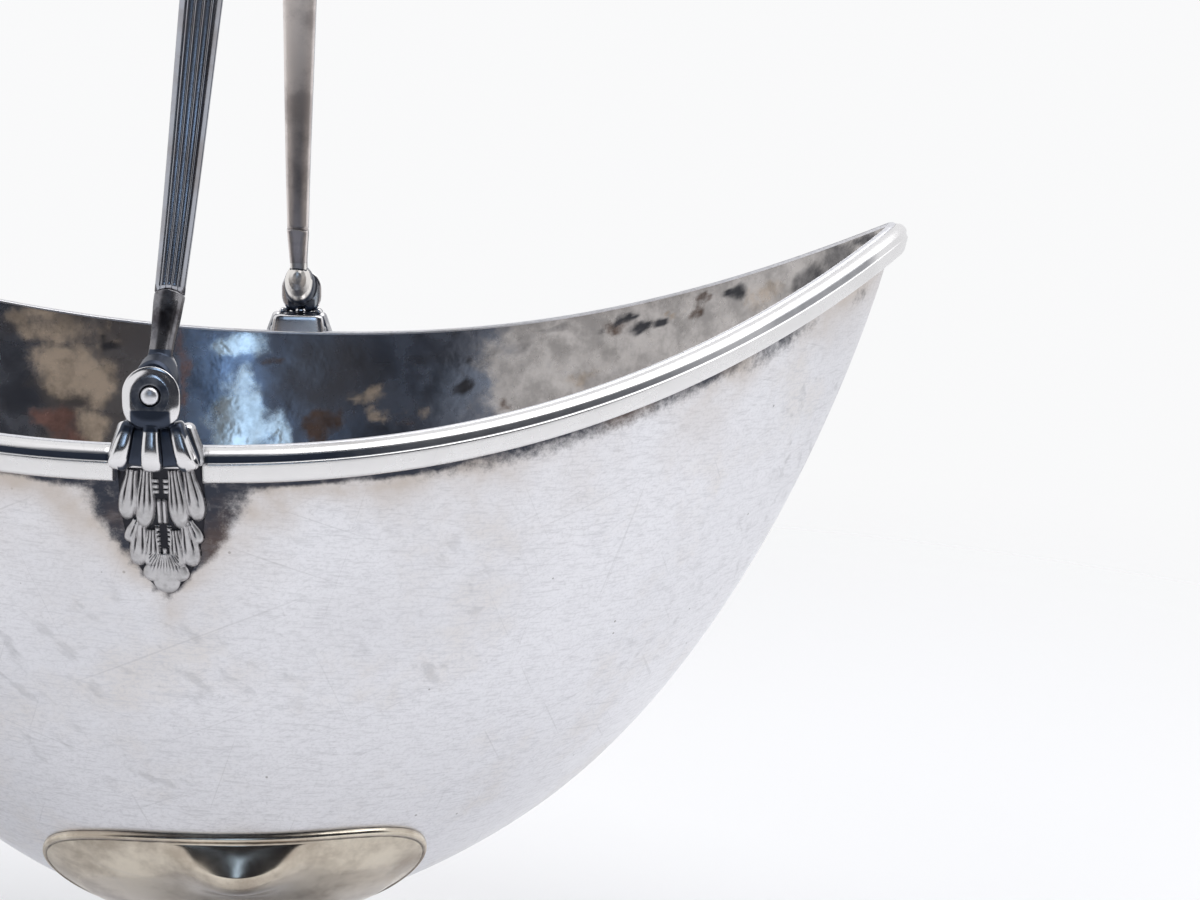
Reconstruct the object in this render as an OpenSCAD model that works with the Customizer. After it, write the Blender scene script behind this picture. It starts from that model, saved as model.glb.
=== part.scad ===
// Boat-shaped silver basket with a reeded swing handle on an oval pedestal foot.
// Origin at the middle of the foot's resting plane, +X along the bowl, +Y across it, +Z up.

/* [Bowl] */
// Length over the two pointed ends
bowl_length = 170; // [150:1:190]
// Width at the hinges, where the bowl is broadest
bowl_width = 94; // [86:1:102]
// Depth at the hinges, from the rim to the underside
bowl_depth = 70.5; // [64:0.5:76]
// How far the rim climbs from the hinges to the ends
rim_rise = 22.5; // [16:0.5:26]
// Thickness of the raised silver sheet
wall = 0.9; // [0.7:0.1:1.4]

/* [Rim] */
// Height of the drawn moulding along the rim
rim_height = 3.9; // [3:0.1:5]
// How far the moulding stands out from the bowl
rim_proud = 2; // [1.4:0.1:2.4]

/* [Hinges] */
// Diameter of the rivet
pin_d = 1.9; // [1.4:0.1:2.1]
// Height of the rivet above the rim
pin_rise = 6.2; // [5.8:0.1:7.5]
// Radius of the round lug that holds the rivet
lug_r = 3.25; // [2.9:0.05:3.3]
// Length of the leaf below the hinge
leaf_length = 12.8; // [10:0.2:15]

/* [Handle] */
// Height of the arch above the rivets
handle_height = 80; // [74:1:84]
// Width of the strip where it meets the plain ends
strip_low = 3.2; // [2.8:0.1:4]
// Width of the strip at the top of the arch
strip_top = 7; // [5:0.5:8]
// Number of reeds along the outer face
reeds = 5; // [3:2:7]
// Lean of the standing handle from upright
handle_lean = 3.5; // [0:0.5:10]

/* [Foot] */
// Height of the bowl's underside above the table
foot_height = 26; // [22:1:34]
// Length of the oval foot
foot_length = 74; // [66:1:84]
// Width of the oval foot
foot_width = 54; // [48:1:62]

/* [Hidden] */
$fn = 96;

bright = "gainsboro";
satin = "silver";
shaded = "slategray";
warm = "wheat";

half_l = bowl_length / 2;
half_w = bowl_width / 2;
rim_z = foot_height + bowl_depth;
pin_z = rim_z + pin_rise;

// Powers that shape the bowl: its plan, its sheer line, its wall and its keel
plan_power = 2.5;
sheer_power = 2.3;
end_draw = 1.2;
wall_power = 2.9;
keel_power = 1.23;
tip_round = 0.04;
around = 64;
seat = 0.05;

// Lofts a skin through rings of equal length, closed at each end by a fan to one point.
// The rings turn right-handed about the direction of travel.
module loft(rings, start, end) {
    n = len(rings[0]);
    last = len(rings) * n;
    points = concat([for (r = rings) each r], [start, end]);
    faces = concat(
        [for (j = [0:n - 1]) [last, j, (j + 1) % n]],
        [for (i = [0:len(rings) - 2], j = [0:n - 1])
            let (a = i * n + j, b = i * n + (j + 1) % n) each [[a, a + n, b + n], [a, b + n, b]]],
        [for (j = [0:n - 1]) [last + 1, last - n + (j + 1) % n, last - n + j]]);
    polyhedron(points, faces, convexity = 6);
}

// Lofts a ring-shaped skin: the last ring joins the first
module loft_round(rings) {
    n = len(rings[0]);
    all = len(rings) * n;
    faces = [for (i = [0:len(rings) - 1], j = [0:n - 1])
        let (a = i * n + j, b = i * n + (j + 1) % n, c = (b + n) % all)
        each [[a, (a + n) % all, c], [a, c, b]]];
    polyhedron([for (r = rings) each r], faces, convexity = 4);
}

function mean(ring) = [for (k = [0:2]) sum([for (p = ring) p[k]]) / len(ring)];
function sum(list, i = 0) = i < len(list) ? list[i] + sum(list, i + 1) : 0;
function unit(v) = v / norm(v);
function ease(low, high, x) = let (t = max(0, min(1, (x - low) / (high - low)))) t * t * (3 - 2 * t);

// The bowl's outer skin: turn runs round the rim, dip goes from 0 at the rim to 90 at the keel
function breadth(u) = let (w = max(0, 1 - pow(abs(u), plan_power)))
    sqrt(w * w + 2 * tip_round * w) / sqrt(1 + 2 * tip_round);
function sheer(u) = rim_rise * pow(abs(u), sheer_power);
function narrow(dip) = pow(cos(dip), 2 / wall_power);
function sink(dip) = pow(sin(dip), 2 / keel_power);
function dip_at_sink(h) = asin(pow(h, keel_power / 2));
function dip_at_narrow(g) = acos(pow(g, wall_power / 2));
function skin(turn, dip) = let (u = cos(turn), g = narrow(dip), h = sink(dip))
    [half_l * u * pow(g, end_draw), sign(sin(turn)) * half_w * breadth(u) * g,
     rim_z + sheer(u) * (1 - h) - bowl_depth * h];
function skin_normal(turn, dip) = let (d = max(4, min(86, dip)),
        along = skin(turn + 0.5, d) - skin(turn - 0.5, d), down = skin(turn, d + 0.5) - skin(turn, d - 0.5))
    unit(cross(down, along));
function off_skin(turn, dip, t) = skin(turn, dip) + t * skin_normal(turn, dip);
// Height of the skin's underside from a depth below the rim, the same drop all along the sheer
function dip_below_rim(turn, drop) = dip_at_sink(drop / (bowl_depth + sheer(cos(turn))));

turns = [for (k = [0:around - 1]) 360 * k / around];
bowl_dips = [86, 80, 73, 66, 59, 52, 45, 38, 31, 24, 17];
keel = [0, 0, foot_height];

module bowl() {
    outer = concat(
        [for (d = bowl_dips) [for (a = turns) skin(a, d)]],
        [[for (a = turns) skin(a, dip_below_rim(a, rim_height))], [for (a = turns) skin(a, 0)]]);
    inner_rim = [for (a = turns) let (p = off_skin(a, 0, -wall)) [p[0], p[1], skin(a, 0)[2]]];
    inner = concat(
        [inner_rim, [for (a = turns) off_skin(a, dip_below_rim(a, rim_height), -wall)]],
        [for (i = [len(bowl_dips) - 1:-1:0]) [for (a = turns) off_skin(a, bowl_dips[i], -wall)]]);
    color(satin) loft(concat(outer, inner), keel, keel + [0, 0, wall]);
}

// Rim moulding: a flat lip, a quirk and a half-round band, given as drop below the rim and distance out
mount_half = 4.95;
mount_turn = acos(mount_half / half_l);
lip = 0.22 * rim_height;
quirk = 0.37 * rim_height;
band_steps = 5;
rim_profile = concat(
    [[0, 0], [0.04 * rim_height, 0.3 * rim_proud], [lip * 0.75, 0.78 * rim_proud], [lip, 0.76 * rim_proud],
     [(lip + quirk) / 2, 0.5 * rim_proud]],
    [for (k = [0:band_steps]) let (t = 180 * k / band_steps)
        [(quirk + rim_height) / 2 - (rim_height - quirk) / 2 * cos(t), rim_proud * (0.62 + 0.38 * sin(t))]],
    [[rim_height, 0]]);

function plan_out(turn) = let (t = skin(turn + 0.5, 0) - skin(turn - 0.5, 0)) unit([t[1], -t[0], 0]);
function rim_section(turn) = [for (q = rim_profile)
    skin(turn, dip_below_rim(turn, q[0])) + q[1] * plan_out(turn)];

module rim_length() {
    step = 360 / around;
    inside_turns = [for (k = [-around / 4 + 1:around / 4 - 1]) k * step];
    stations = concat([-mount_turn], inside_turns, [mount_turn]);
    rings = [for (a = stations) rim_section(a)];
    color(bright) loft(rings, mean(rings[0]), mean(rings[len(rings) - 1]));
}

module rim_moulding_right() rim_length();
module rim_moulding_left() mirror([1, 0, 0]) rim_length();

// Hinge mount: drawn at the front with x across, y outwards from the rim and z up from the rim
pin_r = pin_d / 2;
ledge = 2.7;
core_in = -wall;
core_out = 3.1;
lug_face = 4.8;
lug_t = 1.6;
lug_back = lug_face - lug_t;
lug_base = 5.4;
fit = 0.05;
recess_d = 2.9;
recess_deep = 0.2;
wall_lean = half_w * (1 - narrow(dip_below_rim(90, rim_height)));
lobe_tall = rim_height + ledge;

module at_front() translate([0, -half_w, rim_z]) mirror([0, 1, 0]) children();
module at_back() mirror([0, 1, 0]) at_front() children();

// One rounded lobe of the shoulder, leaning inwards and ending in a dome
module lobe(foot, top, r_foot, r_top) {
    lean = top - foot;
    reach = norm(lean);
    translate(foot) rotate([0, acos(lean[2] / reach), atan2(lean[1], lean[0])]) {
        cylinder(h = reach, r1 = r_foot, r2 = r_top);
        translate([0, 0, reach]) sphere(r = r_top);
    }
}

module lobes() {
    foot_z = -rim_height;
    top_z = ledge - 1;
    for (side = [-1, 1]) {
        lobe([side * 3.35, 3.3, foot_z], [side * 2.45, 3.3, top_z], 1.4, 1.05);
        lobe([side * 4, 1.05, foot_z], [side * 3, 1.3, top_z], 1.15, 0.85);
    }
    lobe([0, 3.6, foot_z], [0, 3.5, top_z], 1.4, 1.1);
}

module shoulder_core() {
    intersection() {
        rotate([90, 0, 90]) translate([0, 0, -6]) linear_extrude(12)
            polygon([[core_in, 0], [0, 0], [-wall_lean, -rim_height], [core_out, -rim_height],
                     [core_out - 0.4, ledge], [core_in, ledge]]);
        translate([0, 8, 0]) rotate([90, 0, 0]) linear_extrude(16)
            polygon([[-4.7, -rim_height], [4.7, -rim_height], [4.4, 0.4], [3.3, ledge],
                     [-3.3, ledge], [-4.4, 0.4]]);
    }
}

// Lug with a bevelled round head, standing on the outer edge of the shoulder
module lug() {
    bevel = 0.5;
    translate([0, lug_back, pin_rise]) rotate([-90, 0, 0]) rotate_extrude()
        polygon([[0, 0], [lug_r, 0], [lug_r, lug_t - bevel], [lug_r - bevel, lug_t], [0, lug_t]]);
    translate([0, lug_face, 0]) rotate([90, 0, 0]) linear_extrude(lug_t)
        polygon([[-lug_base / 2 - 0.5, ledge - 1], [lug_base / 2 + 0.5, ledge - 1],
                 [lug_base / 2, ledge + 0.8], [lug_r - 0.15, pin_rise],
                 [-lug_r + 0.15, pin_rise], [-lug_base / 2, ledge + 0.8]]);
}

module hinge_mount() {
    color(bright) difference() {
        union() {
            shoulder_core();
            intersection() {
                lobes();
                translate([-6, 0.02, -rim_height]) cube([12, 6, lobe_tall + 1]);
            }
            lug();
        }
        translate([0, lug_back - 1, pin_rise]) rotate([-90, 0, 0]) cylinder(h = lug_t + 2, r = pin_r);
        translate([0, lug_face - recess_deep, pin_rise]) rotate([-90, 0, 0]) cylinder(h = 1, d = recess_d);
    }
}

module hinge_mount_front() at_front() hinge_mount();
module hinge_mount_back() at_back() hinge_mount();

// Acanthus leaf in two tiers over a pointed tip, each lobe given for one side of the middle rib:
// distance from the rib, distance down, half width, half length and outward slant
leaf_half = 4.9;
leaf_drawn = 12.8;
leaf_rows = 30;
leaf_cols = 22;
leaf_base = 0.3;
leaf_swell = 0.85;
leaf_edge = 0.15;
upper_outer = [3.75, 2.7, 1.05, 2.5, 16];
upper_inner = [2, 3.3, 0.85, 2.7, 6];
side_tip = [4, 6.1, 0.6, 1.3, 10];
lower_outer = [3.1, 8, 0.9, 2.3, -6];
lower_inner = [1.4, 8.1, 0.8, 2.4, -4];
tip_shield = [0, 11, 2.2, 2.1, 0];
rib = [0, 3.4, 0.5, 2.6, 0];
leaf_lobes = [upper_outer, upper_inner, side_tip, lower_outer, lower_inner, tip_shield, rib];

function leaf_notch(d) = 1 - 0.1 * pow(abs(sin(d * 540)), 6);
function leaf_reach(d) = leaf_half * leaf_notch(d) * pow(max(0.0004, 1 - pow(d, 2.6)), 0.62);
function lobe_swell(q, x, d) = let (dx = abs(x) - q[0], dz = d - q[1],
        a = dx * cos(q[4]) - dz * sin(q[4]), b = dx * sin(q[4]) + dz * cos(q[4]))
    sqrt(max(0, 1 - pow(a / q[2], 2) - pow(b / q[3], 2)));
function leaf_relief(x, d) = leaf_base + leaf_swell * max([for (q = leaf_lobes) lobe_swell(q, x, d)]);
function leaf_point(x, d, t) = let (dip = dip_at_sink((rim_height + d) / bowl_depth), g = narrow(dip))
    [x, half_w * (breadth(x / (half_l * pow(g, end_draw))) * g - 1) + t, -rim_height - d];

module hinge_leaf() {
    rings = [for (i = [0:leaf_rows])
        let (d = i / leaf_rows, down = seat + d * leaf_length, w = leaf_reach(d))
        concat(
            [for (j = [0:leaf_cols])
                let (s = 2 * j / leaf_cols - 1, inside = 1 - pow(abs(s), 8),
                     relief = leaf_relief(s * w, d * leaf_drawn))
                leaf_point(s * w, down, seat + leaf_edge + (relief - leaf_edge) * inside)],
            [leaf_point(w, down, seat), leaf_point(-w, down, seat)])];
    color(satin) loft(rings, mean(rings[0]), mean(rings[leaf_rows]));
}

module hinge_leaf_front() at_front() hinge_leaf();
module hinge_leaf_back() at_back() hinge_leaf();

// Rivet: fixed in the lug, a running fit in the handle's end, filed flush inside
pin_out = 5;
pin_in = -0.45;
pin_edge = 0.15;

module hinge_pin() {
    color(bright) translate([0, pin_in, pin_rise]) rotate([-90, 0, 0]) rotate_extrude()
        polygon([[0, 0], [pin_r - pin_edge, 0], [pin_r, pin_edge], [pin_r, pin_out - pin_in - pin_edge],
                 [pin_r - pin_edge, pin_out - pin_in], [0, pin_out - pin_in]]);
}

module hinge_pin_front() at_front() hinge_pin();
module hinge_pin_back() at_back() hinge_pin();

// Handle: the middle line of one arm is a curve in the plane of the arch, across and up from the rivets
arm_start = [half_w + 2.2, 0];
arm_low = [0.7 * half_w, 0.25 * handle_height];
arm_high = [0.765 * half_w, handle_height];
arm_apex = [0, handle_height];
joint_t = 0.14;
arch_stations = 46;
strip_t = 2.2;
reed_deep = 0.3;
reed_points = 3;

function arm(t) = pow(1 - t, 3) * arm_start + 3 * t * pow(1 - t, 2) * arm_low
    + 3 * t * t * (1 - t) * arm_high + pow(t, 3) * arm_apex;
function bail(t) = t <= 1 ? let (q = arm(t)) [0, -q[0], q[1]] : let (q = arm(2 - t)) [0, q[0], q[1]];
function bail_ahead(t) = unit(bail(t + 0.002) - bail(t - 0.002));
function strip_width(z) = strip_low + (strip_top - strip_low) * max(0, z - bail(joint_t)[2]) / handle_height;

// Places a flat outline, across and outwards, square to the middle line of the handle
function set_on_bail(t, outline) = let (out = cross([1, 0, 0], bail_ahead(t)))
    [for (q = outline) bail(t) + [q[0], 0, 0] + q[1] * out];

function reed_outline(w) = let (n = reeds * reed_points, h = strip_t / 2, c = 0.35) concat(
    [[w / 2, c - h], [w / 2 - c, -h], [c - w / 2, -h], [-w / 2, c - h]],
    [for (k = [0:n]) [w * (k / n - 0.5), h - reed_deep * (1 - abs(sin(180 * k / reed_points)))]]);

function plain_outline(w, h) = [for (k = [0:13]) let (a = -360 * k / 14)
    [w / 2 * sign(cos(a)) * pow(abs(cos(a)), 0.6), h / 2 * sign(sin(a)) * pow(abs(sin(a)), 0.6)]];

module in_bail_plane() translate([0, 0, pin_z]) rotate([0, handle_lean, 0]) children();

module handle_arch() {
    rings = [for (k = [0:arch_stations]) let (t = joint_t + (2 - 2 * joint_t) * k / arch_stations)
        set_on_bail(t, reed_outline(strip_width(bail(t)[2])))];
    color(shaded) in_bail_plane() loft(rings, bail(joint_t), bail(2 - joint_t));
}

// Plain end of the handle: a bulb bored for the rivet and a shank that grows out of its top
bulb_r = 3;
bulb_out = 3.05;
bulb_mid = 1.6;
bulb_in = -0.6;
dome_steps = 8;
shank_from = 0.035;
shank_steps = 6;
joint_gap = 0.0015;

module handle_end() {
    shank_to = joint_t - joint_gap;
    rings = [for (k = [0:shank_steps]) let (t = shank_from + (shank_to - shank_from) * k / shank_steps)
        set_on_bail(t, plain_outline(strip_low + 0.25, strip_t + 0.15))];
    color(shaded) in_bail_plane() difference() {
        union() {
            loft(rings, mean(rings[0]), mean(rings[shank_steps]));
            translate([0, -half_w, 0]) rotate([90, 0, 0]) rotate_extrude() polygon(concat(
                [[0, bulb_out], [0, bulb_in]],
                [for (k = [1:dome_steps]) let (a = 90 - 90 * k / dome_steps)
                    [bulb_r * cos(a), bulb_mid - (bulb_mid - bulb_in) * sin(a)]],
                [[bulb_r, bulb_out - 0.2], [bulb_r - 0.2, bulb_out]]));
        }
        translate([0, -half_w + 4, 0]) rotate([90, 0, 0]) cylinder(h = 12, r = pin_r + fit);
    }
}

module handle_end_front() handle_end();
module handle_end_back() mirror([0, 1, 0]) handle_end();

// Calyx: two broad lobes of the foot that cup the bowl's sides, on a flat hub
calyx_t = 0.9;
calyx_high = 0.69;
hub_g = 0.23;
hub_drop = 2.2;
hub_shrink = 0.95;
calyx_steps = 6;
bead_t = 1.15;
bead_g = 0.022;
hub_z = foot_height - hub_drop;

calyx_waist = 0.3;
calyx_seat = 0.12;
flank_at = 0.58;
flank_crowd = 0.6;

function calyx_edge(turn) = calyx_high - (calyx_high - calyx_waist) * ease(0.42, 0.76, abs(cos(turn)));
// Stations of one quarter turn, crowded on the lobe's steep flank
function flank_turn(f) = 90 * f - 90 * flank_crowd / (2 * PI)
    * (sin(360 * (f - flank_at)) + sin(360 * flank_at));
calyx_turns = [for (q = [0:3], k = [0:around / 4 - 1]) let (f = 4 * k / around)
    90 * q + (q % 2 == 0 ? flank_turn(f) : 90 - flank_turn(1 - f))];
function calyx_ring(f, t, back = 0) = [for (a = calyx_turns)
    off_skin(a, dip_at_narrow(hub_g + (calyx_edge(a) - hub_g - back) * f), t)];

module foot_calyx() {
    hub_dip = dip_at_narrow(hub_g);
    hub = [for (a = calyx_turns) let (p = skin(a, hub_dip) * hub_shrink) [p[0], p[1], hub_z]];
    outer = [for (k = [0:calyx_steps]) calyx_ring(k / calyx_steps, calyx_t, 2 * bead_g)];
    edge = [calyx_ring(1, bead_t, 1.4 * bead_g), calyx_ring(1, bead_t, 0.6 * bead_g),
            calyx_ring(1, calyx_seat)];
    inner = [for (k = [calyx_steps:-1:0]) calyx_ring(k / calyx_steps, calyx_seat, bead_g)];
    core = [[for (a = calyx_turns) off_skin(a, dip_at_narrow(hub_g / 2), calyx_seat)]];
    color(warm) loft(concat([hub], outer, edge, inner, core), [0, 0, hub_z], keel - [0, 0, calyx_seat]);
}

// Pedestal: a hollow spool whose side sweeps from the neck to the spread foot
foot_oval = foot_width / foot_length;
neck_r = 13;
spread_r = foot_length / 2 - 2.4;
rim_seat_z = 2.6;
flange_t = 0.9;
sweep_steps = 12;
sweep_power = 2.3;

function sweep(inset) = [for (k = [0:sweep_steps]) let (f = k / sweep_steps, z0 = rim_seat_z + flange_t)
    [neck_r + (spread_r - neck_r) * pow(1 - f, sweep_power) - inset * (0.4 + 0.6 * f),
     z0 + (hub_z - z0) * f - inset * (1 - f)]];

module foot_pedestal() {
    color(satin) scale([1, foot_oval, 1]) rotate_extrude() difference() {
        polygon(concat([[0, rim_seat_z], [spread_r + 0.6, rim_seat_z]], sweep(0), [[0, hub_z]]));
        polygon(concat([[0, rim_seat_z - 1], [spread_r - 2.6, rim_seat_z - 1]],
            [for (q = sweep(wall)) if (q[1] < hub_z - 1.4 && q[0] < spread_r - 2.6) q],
            [[neck_r - 1, hub_z - 1.4], [0, hub_z - 1.4]]));
    }
}

// Foot rim: an applied ring of two reeds over a flat resting edge
ring_in = spread_r - 2.2;
ring_out = foot_length / 2;

reed_steps = 4;
reed_split = 0.55 * rim_seat_z;
quirk_gap = 0.05;
reed_back = 0.6;

function foot_reed(z0, z1, out) = let (r = (z1 - z0) / 2) [for (k = [0:reed_steps])
    let (a = 180 * k / reed_steps - 90) [out - r * (1 - cos(a)), z0 + r + r * sin(a)]];
foot_profile = concat([[ring_in, 0]], foot_reed(0, reed_split, ring_out),
    foot_reed(reed_split + quirk_gap, rim_seat_z, ring_out - reed_back), [[ring_in, rim_seat_z]]);

module foot_rim() {
    color(bright) loft_round([for (a = turns) [for (i = [len(foot_profile) - 1:-1:0])
        let (q = foot_profile[i]) [q[0] * cos(a), q[0] * foot_oval * sin(a), q[1]]]]);
}

bowl();
rim_moulding_left();
rim_moulding_right();
hinge_mount_front();
hinge_mount_back();
hinge_leaf_front();
hinge_leaf_back();
hinge_pin_front();
hinge_pin_back();
handle_arch();
handle_end_front();
handle_end_back();
foot_calyx();
foot_pedestal();
foot_rim();
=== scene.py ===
# %% [markdown]
# # A boat-shaped silver basket
# The basket is old table silver: a raised bowl with two pointed ends, a drawn rim, cast hinges with
# a leaf below each, a reeded handle that swings, and a pedestal foot. The solids of the CAD model
# come first, as a fixed frame. Finer meshes then stand for the pieces whose curves show in every
# reflection, because polished metal betrays each flat facet.

# %% Load the frame
import math

import bpy
import numpy as np
from mathutils import Matrix, Vector


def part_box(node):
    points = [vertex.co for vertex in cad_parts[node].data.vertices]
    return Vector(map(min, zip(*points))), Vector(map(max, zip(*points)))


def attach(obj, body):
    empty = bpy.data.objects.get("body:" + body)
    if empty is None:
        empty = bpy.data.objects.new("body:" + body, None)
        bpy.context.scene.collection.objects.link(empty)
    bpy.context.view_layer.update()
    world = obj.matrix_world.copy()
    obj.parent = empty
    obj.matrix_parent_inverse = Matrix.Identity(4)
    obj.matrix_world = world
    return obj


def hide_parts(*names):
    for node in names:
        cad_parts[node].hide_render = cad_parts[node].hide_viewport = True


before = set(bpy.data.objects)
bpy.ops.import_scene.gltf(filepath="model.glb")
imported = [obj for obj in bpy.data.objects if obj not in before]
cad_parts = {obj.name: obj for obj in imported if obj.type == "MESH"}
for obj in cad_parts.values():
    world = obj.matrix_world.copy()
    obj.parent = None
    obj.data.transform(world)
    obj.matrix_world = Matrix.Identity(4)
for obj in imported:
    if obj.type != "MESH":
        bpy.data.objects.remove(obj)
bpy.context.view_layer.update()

MM = 0.001
scene = bpy.context.scene
scene.view_settings.view_transform = "Standard"
print("nodes:", ", ".join(sorted(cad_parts)))

# %% [markdown]
# ## The camera
# The picture is a close view from a little above the rim, so only the right half of the basket is
# in it. A camera can be placed by eye, but here its place and turn come from a least-squares fit of
# the rim's curve, the two rivets and the bowl's outline, which gives the lens as well: 60 mm on a
# 36 mm sensor.

# %% Camera
CAMERA_AT = Vector((49.5, -259.8, 138.9)) * MM
YAW, PITCH, ROLL = (math.radians(a) for a in (0.44, -11.05, 1.38))

camera_data = bpy.data.cameras.new("camera")
camera_data.lens, camera_data.sensor_width = 60, 36
camera_data.clip_start = 0.01
camera = bpy.data.objects.new("camera", camera_data)
scene.collection.objects.link(camera)
scene.camera = camera

ahead = Vector((-math.sin(YAW) * math.cos(PITCH), math.cos(YAW) * math.cos(PITCH), math.sin(PITCH)))
level = Vector((math.cos(YAW), math.sin(YAW), 0))
upward = level.cross(ahead)
right = math.cos(ROLL) * level + math.sin(ROLL) * upward
up = math.cos(ROLL) * upward - math.sin(ROLL) * level
turn = Matrix((right, up, -ahead)).transposed()
camera.matrix_world = Matrix.Translation(CAMERA_AT) @ turn.to_4x4()
print("camera at", [round(c, 4) for c in CAMERA_AT])

# %% [markdown]
# ## Meshes from grids of points
# Nearly every piece here is a grid: rows of points, each row a ring or a section. One helper turns
# such a grid into quads, and another makes the object, puts it on its CAD body, hides the solid it
# stands for and prints how far its box lies from that solid's box. Working in millimetres keeps the
# numbers those of the workbench; the helper scales them to metres.

# %% Helpers for meshes
def grid_faces(rows, cols, round_cols=True, round_rows=False):
    r = np.arange(rows if round_rows else rows - 1)[:, None]
    c = np.arange(cols if round_cols else cols - 1)[None, :]
    r2, c2 = (r + 1) % rows, (c + 1) % cols
    return np.stack([r * cols + c, r * cols + c2, r2 * cols + c2, r2 * cols + c], -1).reshape(-1, 4)


def new_piece(name, mesh, body, node):
    piece = bpy.data.objects.new(name, mesh)
    scene.collection.objects.link(piece)
    mesh.polygons.foreach_set("use_smooth", np.ones(len(mesh.polygons), bool))
    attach(piece, body)
    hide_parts(node)
    points = np.empty(len(mesh.vertices) * 3)
    mesh.vertices.foreach_get("co", points)
    points = points.reshape(-1, 3)
    solid = np.array(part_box(node))
    off = np.abs(np.array((points.min(0), points.max(0))) - solid).max() / MM
    print(f"{name}: {len(points)} points, box within {off:.2f} mm of the solid")
    return piece


def grid_mesh(name, grid, caps=False, **joined):
    rows, cols = grid.shape[:2]
    faces = grid_faces(rows, cols, **joined).tolist()
    if caps:
        faces += [list(range(cols))[::-1], list(range((rows - 1) * cols, rows * cols))]
    mesh = bpy.data.meshes.new(name)
    mesh.from_pydata((grid.reshape(-1, 3) * MM).tolist(), [], faces)
    return mesh


def mark(mesh, name, values):
    layer = mesh.attributes.new(name, "FLOAT", "POINT")
    layer.data.foreach_set("value", np.asarray(values, np.float32).ravel())


def tint(mesh, name, colours):
    layer = mesh.attributes.new(name, "FLOAT_COLOR", "POINT")
    layer.data.foreach_set("color", colours.astype(np.float32).ravel())


def ease(low, high, x):
    t = np.clip((x - low) / (high - low), 0, 1)
    return t * t * (3 - 2 * t)

# %% [markdown]
# ## The bowl's form
# A silversmith raises the bowl from one sheet. Its plan is a pointed oval, its rim dips to the
# hinges, and its walls draw in to a keel. It could be modelled from a subdivided box, but a formula
# gives the same skin to the bowl, the rim, the leaves and the calyx, so that each of them sits on
# the silver without a gap. `turn` runs round the rim from the right-hand end, and `dip` goes from
# the rim, 0, to the keel, a quarter turn.

# %% The bowl's skin
keel_low, tip_high = (np.array(corner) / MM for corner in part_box("bowl"))
HALF_L, HALF_W = tip_high[:2]
DEPTH, WALL = 70.5, 0.9
KEEL_Z = keel_low[2]
RIM_Z = KEEL_Z + DEPTH
RISE = tip_high[2] - RIM_Z
PLAN, SHEER, DRAW, SIDE, KEEL, ROUND = 2.5, 2.3, 1.2, 2.9, 1.23, 0.04


def breadth(u):
    w = np.clip(1 - np.abs(u) ** PLAN, 0, None)
    return np.sqrt(w * w + 2 * ROUND * w) / math.sqrt(1 + 2 * ROUND)


def sheer(u):
    return RISE * np.abs(u) ** SHEER


def narrow(dip):
    return np.cos(dip) ** (2 / SIDE)


def dip_at_narrow(g):
    return np.arccos(g ** (SIDE / 2))


def dip_at_drop(turn, drop):
    return np.arcsin((drop / (DEPTH + sheer(np.cos(turn)))) ** (KEEL / 2))


def bare_skin(turn, dip):
    u, g, h = np.cos(turn), narrow(dip), np.sin(dip) ** (2 / KEEL)
    return np.stack([HALF_L * u * g ** DRAW, np.sign(np.sin(turn)) * HALF_W * breadth(u) * g,
                     RIM_Z + sheer(u) * (1 - h) - DEPTH * h], -1)


TINY = 0.008  # the step in radians over which a slope is measured


def skin(turn, dip, out=0.0):
    turn, dip, out = np.broadcast_arrays(turn, dip, out)
    d = np.clip(dip, 0.07, 1.5)
    down = bare_skin(turn, d + TINY) - bare_skin(turn, d - TINY)
    along = bare_skin(turn + TINY, d) - bare_skin(turn - TINY, d)
    normal = np.cross(down, along)
    normal /= np.linalg.norm(normal, axis=-1, keepdims=True)
    return bare_skin(turn, dip) + out[..., None] * normal


print("rim at", round(RIM_Z, 2), "mm, ends", round(RISE, 2), "mm higher")

# %% [markdown]
# ## The bowl
# Outside it is satin from two centuries of handling; inside it was never scrubbed, so sulphur has
# turned it slate and brown. Both faces are one closed mesh with two finishes, because the edge
# between them shows. A picture could carry the stains, but it would need a file. Where tarnish lies
# is part of this basket's history, so it is laid down as smooth weights on the points: dark under
# the rim and round each hinge leaf, and inside as blots and clouds. Just under the rim the dark and
# the beige are partly painted shade, and some pale blue spots inside are a painted reflection of a
# window. Ripples of summed waves bend the weights so that no edge runs true.

# %% Bowl mesh
N_TURN, N_DIP, N_LIP = 440, 112, 4
turns = np.arange(N_TURN) * 2 * math.pi / N_TURN
dips = np.linspace(math.radians(89.7), 0, N_DIP)
outside = skin(turns[None], dips[:, None])
inside = skin(turns[None], dips[::-1, None], -WALL)
inside[0, :, 2] = outside[-1, :, 2]
across = (np.arange(1, N_LIP) / N_LIP)[:, None, None]
lip_top = outside[-1] * (1 - across) + inside[0] * across
lip_top[..., 2] += 0.16 * np.sin(math.pi * across[..., 0])
bowl_grid = np.concatenate([outside, lip_top, inside])
bowl_mesh = grid_mesh("bowl_skin", bowl_grid)

in_first = N_DIP + N_LIP - 1
row_of_face = np.repeat(np.arange(len(bowl_grid) - 1), N_TURN)
bowl_mesh.polygons.foreach_set("material_index", (row_of_face >= in_first + 3).astype(np.int32))
bowl = new_piece("bowl_skin", bowl_mesh, "basket", "bowl")

# %% Where tarnish lies
def ripple(x, z, size, seed):
    waves = np.random.default_rng(seed)
    total = 0
    for octave in range(5):
        fade = 0.62 ** octave
        reach = 2 * math.pi / (size * fade)
        for _ in range(3):
            angle, phase = waves.uniform(0, 2 * math.pi, 2)
            total = total + fade * np.sin(reach * (x * math.cos(angle) + z * math.sin(angle)) + phase)
    return total / 4


def blot(x, z, at, size, edge=0.35):
    return 1 - ease(1 - edge, 1 + edge, np.hypot((x - at[0]) / size[0], (z - at[1]) / size[1]))


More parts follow.
